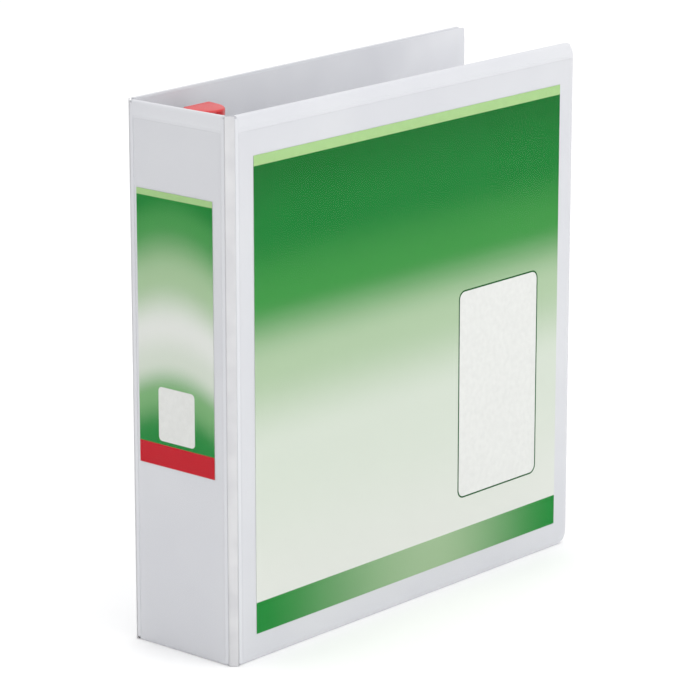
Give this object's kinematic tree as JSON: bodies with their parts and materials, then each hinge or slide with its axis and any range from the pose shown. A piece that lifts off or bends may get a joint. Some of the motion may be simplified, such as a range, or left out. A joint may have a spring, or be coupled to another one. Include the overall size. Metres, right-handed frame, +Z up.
{
  "type": "ring binder",
  "caption": "White ring binder with clear-view pockets on its covers and spine, a slant-D ring mechanism on the back cover and red lever grips.",
  "frame": {"origin": "centre of the bounding box's bottom face, on the surface the closed binder stands on", "axes": "+X from the spine to the fore-edge, +Y from the front cover to the back cover, +Z up along the cover's height"},
  "size_m": [0.285, 0.0834, 0.295],
  "materials": {
    "outer_film": "white polypropylene film, satin",
    "liner_film": "white polypropylene liner, fine satin grain",
    "board": "grey chipboard",
    "clear_film": "clear pocket film, soft gloss",
    "printed_paper": "printed paper insert",
    "plated_steel": "nickel-plated steel",
    "steel_strip": "plated spring steel",
    "grip_rubber": "red soft grip"
  },
  "bodies": {
    "back_cover": {"back_outer_film": "outer_film", "back_board": "board", "back_inner_liner": "liner_film", "back_overlay": "clear_film", "back_inner_pocket": "clear_film", "cover_rivets": "plated_steel", "mounting_posts": "plated_steel", "ring_housing": "plated_steel", "top_pivot_pin": "steel_strip", "bottom_pivot_pin": "steel_strip"},
    "back_hinge_strip": {"back_hinge_strip": "outer_film"},
    "spine": {"spine_outer_film": "outer_film", "spine_board": "board", "spine_inner_liner": "liner_film", "spine_overlay": "clear_film"},
    "spine_insert": {"spine_insert": "printed_paper"},
    "front_hinge_strip": {"front_hinge_strip": "outer_film"},
    "front_cover": {"front_outer_film": "outer_film", "front_board": "board", "front_inner_liner": "liner_film", "front_overlay": "clear_film", "front_inner_pocket": "clear_film"},
    "front_insert": {"front_insert": "printed_paper"},
    "fore_side_plate": {"fore_side_hinge_plate": "steel_strip", "top_ring_leg": "plated_steel", "middle_ring_leg": "plated_steel", "bottom_ring_leg": "plated_steel"},
    "spine_side_plate": {"spine_side_hinge_plate": "steel_strip", "top_ring_arc": "plated_steel", "middle_ring_arc": "plated_steel", "bottom_ring_arc": "plated_steel"},
    "top_lever": {"top_lever": "steel_strip", "top_lever_pad": "grip_rubber"},
    "bottom_lever": {"bottom_lever": "steel_strip", "bottom_lever_pad": "grip_rubber"},
    "top_slide": {"top_slide": "steel_strip"},
    "bottom_slide": {"bottom_slide": "steel_strip"}
  },
  "joints": [
    {"name": "back_hinge_at_cover", "type": "hinge", "parent": "back_cover", "child": "back_hinge_strip", "pos_m": [-0.13834, 0.03329, 0.1475], "axis": [0, 0, -1], "range_deg": [0, 90]},
    {"name": "back_hinge_at_spine", "type": "hinge", "parent": "back_hinge_strip", "child": "spine", "pos_m": [-0.14145, 0.03018, 0.1475], "axis": [0, 0, -1], "range_deg": [0, 90]},
    {"name": "front_hinge_at_spine", "type": "hinge", "parent": "spine", "child": "front_hinge_strip", "pos_m": [-0.14145, -0.0375, 0.1475], "axis": [0, 0, -1], "range_deg": [0, 90]},
    {"name": "front_hinge_at_cover", "type": "hinge", "parent": "front_hinge_strip", "child": "front_cover", "pos_m": [-0.13834, -0.04061, 0.1475], "axis": [0, 0, -1], "range_deg": [0, 90]},
    {"name": "top_lever_pivot", "type": "hinge", "parent": "back_cover", "child": "top_lever", "pos_m": [-0.10234, 0.02758, 0.275], "axis": [-0.9997, -0.0262, 0], "range_deg": [0, 32]},
    {"name": "bottom_lever_pivot", "type": "hinge", "parent": "back_cover", "child": "bottom_lever", "pos_m": [-0.10234, 0.02758, 0.02], "axis": [0.9997, 0.0262, 0], "range_deg": [0, 32]},
    {"name": "fore_side_plate_hinge", "type": "hinge", "parent": "back_cover", "child": "fore_side_plate", "pos_m": [-0.08895, 0.02833, 0.1475], "axis": [0, 0, 1], "range_deg": [0, 13]},
    {"name": "spine_side_plate_hinge", "type": "hinge", "parent": "back_cover", "child": "spine_side_plate", "pos_m": [-0.11574, 0.02763, 0.1475], "axis": [0, 0, -1], "range_deg": [0, 13]},
    {"name": "top_slide_travel", "type": "slide", "parent": "back_cover", "child": "top_slide", "axis": [0, 0, 1], "range_m": [0, 0.00195]},
    {"name": "bottom_slide_travel", "type": "slide", "parent": "back_cover", "child": "bottom_slide", "axis": [0, 0, -1], "range_m": [0, 0.00195]},
    {"name": "front_insert_slide", "type": "slide", "parent": "front_cover", "child": "front_insert", "axis": [0, 0, 1], "range_m": [0, 0.29]},
    {"name": "spine_insert_slide", "type": "slide", "parent": "spine", "child": "spine_insert", "axis": [0, 0, 1], "range_m": [0, 0.2]}
  ],
  "couplings": [
    {"joint": "bottom_lever_pivot", "follows": "top_lever_pivot", "ratio": 1},
    {"joint": "fore_side_plate_hinge", "follows": "top_lever_pivot", "ratio": 0.40625},
    {"joint": "spine_side_plate_hinge", "follows": "top_lever_pivot", "ratio": 0.40625},
    {"joint": "top_slide_travel", "follows": "top_lever_pivot", "m_per_rad": 0.0034912},
    {"joint": "bottom_slide_travel", "follows": "top_lever_pivot", "m_per_rad": 0.0034912}
  ]
}
